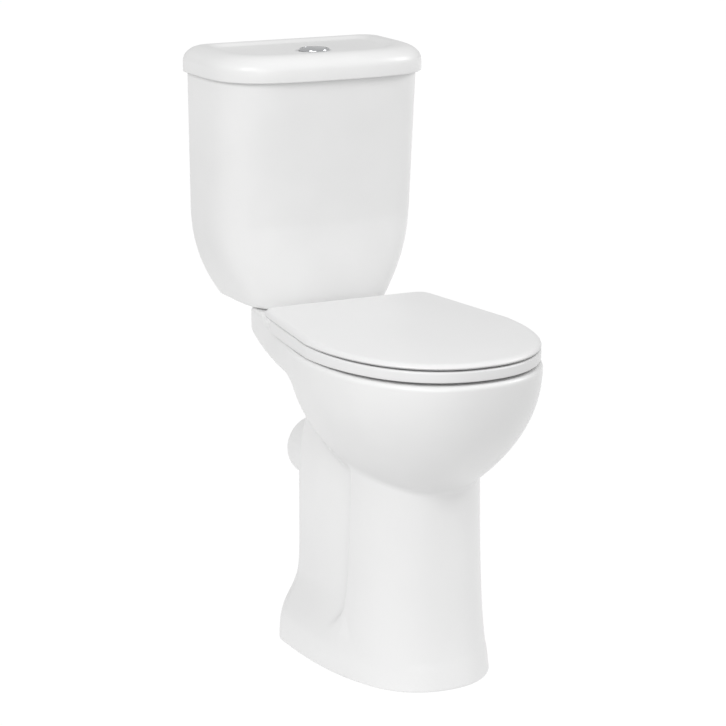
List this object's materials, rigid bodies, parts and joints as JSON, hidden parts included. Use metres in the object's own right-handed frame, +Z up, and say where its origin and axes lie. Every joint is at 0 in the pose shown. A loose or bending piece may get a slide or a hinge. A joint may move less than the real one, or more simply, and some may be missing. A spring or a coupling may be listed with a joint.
{
  "type": "close coupled toilet",
  "caption": "Close coupled toilet: raised-height ceramic pan with horizontal rear outlet, D-shaped cistern with dual flush button, hinged seat ring and lid.",
  "frame": {"origin": "middle of the bounding box in plan, at floor level", "axes": "+Z up, -Y is the front of the pan, +X is the right hand of someone sitting on it"},
  "size_m": [0.3506, 0.666, 0.8826],
  "materials": {
    "ceramic": "white vitreous glaze, high gloss",
    "seat_plastic": "white gloss moulding",
    "chrome": "polished chrome plate",
    "rubber": "matt rubber",
    "valve_plastic": "satin moulded plastic",
    "steel": "zinc plated or stainless"
  },
  "bodies": {
    "root": {"pan": "ceramic", "cistern": "ceramic", "hinge_post_left": "seat_plastic", "hinge_post_right": "seat_plastic", "hinge_washers": "rubber", "coupling_seals": "rubber", "doughnut_seal": "rubber", "flush_valve_washer": "rubber", "fill_valve_washer": "rubber", "hinge_wing_nuts": "valve_plastic", "flush_valve_back_nut": "valve_plastic", "flush_valve_base": "valve_plastic", "flush_valve_bridge": "valve_plastic", "fill_valve": "valve_plastic", "fill_valve_cap": "valve_plastic", "fill_valve_back_nut": "valve_plastic", "hinge_pins": "steel", "hinge_bolts": "steel", "coupling_bolts": "steel", "coupling_washers": "steel", "coupling_wing_nuts": "steel", "rocker_pins": "steel", "float_arm_pin": "steel"},
    "seat_ring": {"seat_ring": "seat_plastic", "seat_ring_buffers": "rubber"},
    "seat_lid": {"seat_lid": "seat_plastic", "seat_lid_buffers": "rubber"},
    "cistern_lid": {"cistern_lid": "ceramic", "button_bezel": "chrome", "bezel_collar_nut": "valve_plastic"},
    "full_button": {"full_flush_button": "chrome", "full_flush_push_rod": "valve_plastic"},
    "half_button": {"half_flush_button": "chrome", "half_flush_push_rod": "valve_plastic"},
    "valve_lift": {"overflow_tube": "valve_plastic", "flush_valve_seal": "rubber"},
    "full_rocker": {"full_flush_rocker": "valve_plastic"},
    "half_rocker": {"half_flush_rocker": "valve_plastic"},
    "float": {"fill_float": "valve_plastic", "float_link": "valve_plastic"},
    "float_arm": {"float_arm": "valve_plastic"}
  },
  "joints": [
    {"name": "seat_ring_hinge", "type": "hinge", "parent": "root", "child": "seat_ring", "pos_m": [0, 0.107, 0.498], "axis": [-1, 0, 0], "range_deg": [0, 90.5]},
    {"name": "seat_lid_hinge", "type": "hinge", "parent": "seat_ring", "child": "seat_lid", "pos_m": [0, 0.107, 0.498], "axis": [1, 0, 0], "range_deg": [-90.5, 0]},
    {"name": "cistern_lid_lift", "type": "slide", "parent": "root", "child": "cistern_lid", "axis": [0, 0, 1], "range_m": [0, 0.06]},
    {"name": "full_button_press", "type": "slide", "parent": "cistern_lid", "child": "full_button", "axis": [0, 0, -1], "range_m": [0, 0.006], "stiffness_N_per_m": 400, "springref_m": -0.004},
    {"name": "half_button_press", "type": "slide", "parent": "cistern_lid", "child": "half_button", "axis": [0, 0, -1], "range_m": [0, 0.006], "stiffness_N_per_m": 400, "springref_m": -0.004},
    {"name": "full_rocker_tilt", "type": "hinge", "parent": "root", "child": "full_rocker", "pos_m": [0.0135, 0.209, 0.7454], "axis": [-1, 0, 0], "range_deg": [0, 36]},
    {"name": "half_rocker_tilt", "type": "hinge", "parent": "root", "child": "half_rocker", "pos_m": [-0.0175, 0.209, 0.7454], "axis": [-1, 0, 0], "range_deg": [0, 36]},
    {"name": "valve_rise", "type": "slide", "parent": "root", "child": "valve_lift", "axis": [0, 0, 1], "range_m": [0, 0.007]},
    {"name": "float_rise", "type": "slide", "parent": "root", "child": "float", "axis": [0, 0, 1], "range_m": [0, 0.012]},
    {"name": "float_arm_tilt", "type": "hinge", "parent": "root", "child": "float_arm", "pos_m": [0.078, 0.261, 0.7804], "axis": [-1, 0, 0], "range_deg": [0, 24]}
  ],
  "couplings": [
    {"joint": "full_rocker_tilt", "follows": "full_button_press", "rad_per_m": 100},
    {"joint": "valve_rise", "follows": "full_button_press", "ratio": 1},
    {"joint": "half_rocker_tilt", "follows": "half_button_press", "rad_per_m": 100},
    {"joint": "float_arm_tilt", "follows": "float_rise", "rad_per_m": 33.333}
  ]
}
